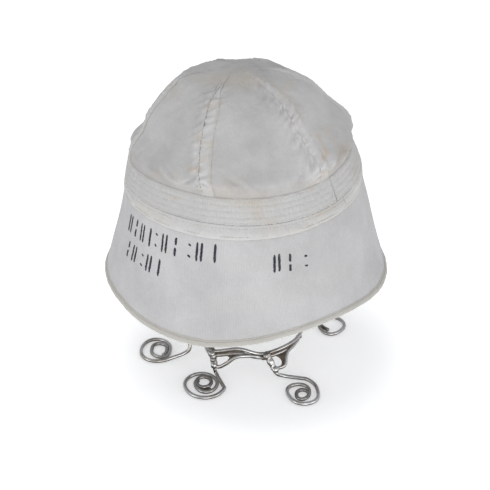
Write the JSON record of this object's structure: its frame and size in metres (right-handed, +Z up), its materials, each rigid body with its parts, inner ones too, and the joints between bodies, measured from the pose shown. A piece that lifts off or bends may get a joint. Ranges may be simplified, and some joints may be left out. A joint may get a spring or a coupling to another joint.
{
  "type": "sailor cap on wire stand",
  "caption": "White cotton sailor cap with a gored crown and a turned-down stitched brim, on an open wire stand with scrolled feet.",
  "frame": {"origin": "on the floor under the middle of the cap and stand's outer box", "axes": "+Z up; -Y towards the front, where the brim droops lowest; +X to the viewer's right of the front"},
  "size_m": [0.2248, 0.2202, 0.241],
  "materials": {
    "white_cotton": "matte twill",
    "cream_cotton": "matte tape",
    "polished_wire": "polished"
  },
  "bodies": {
    "root": {"crown_gore_1": "white_cotton", "crown_gore_2": "white_cotton", "crown_gore_3": "white_cotton", "crown_gore_4": "white_cotton", "crown_gore_5": "white_cotton", "crown_gore_6": "white_cotton", "crown_band": "white_cotton", "seam_strip": "cream_cotton", "brim": "white_cotton", "brim_hem": "cream_cotton", "wire_stand": "polished_wire"}
  },
  "joints": []
}
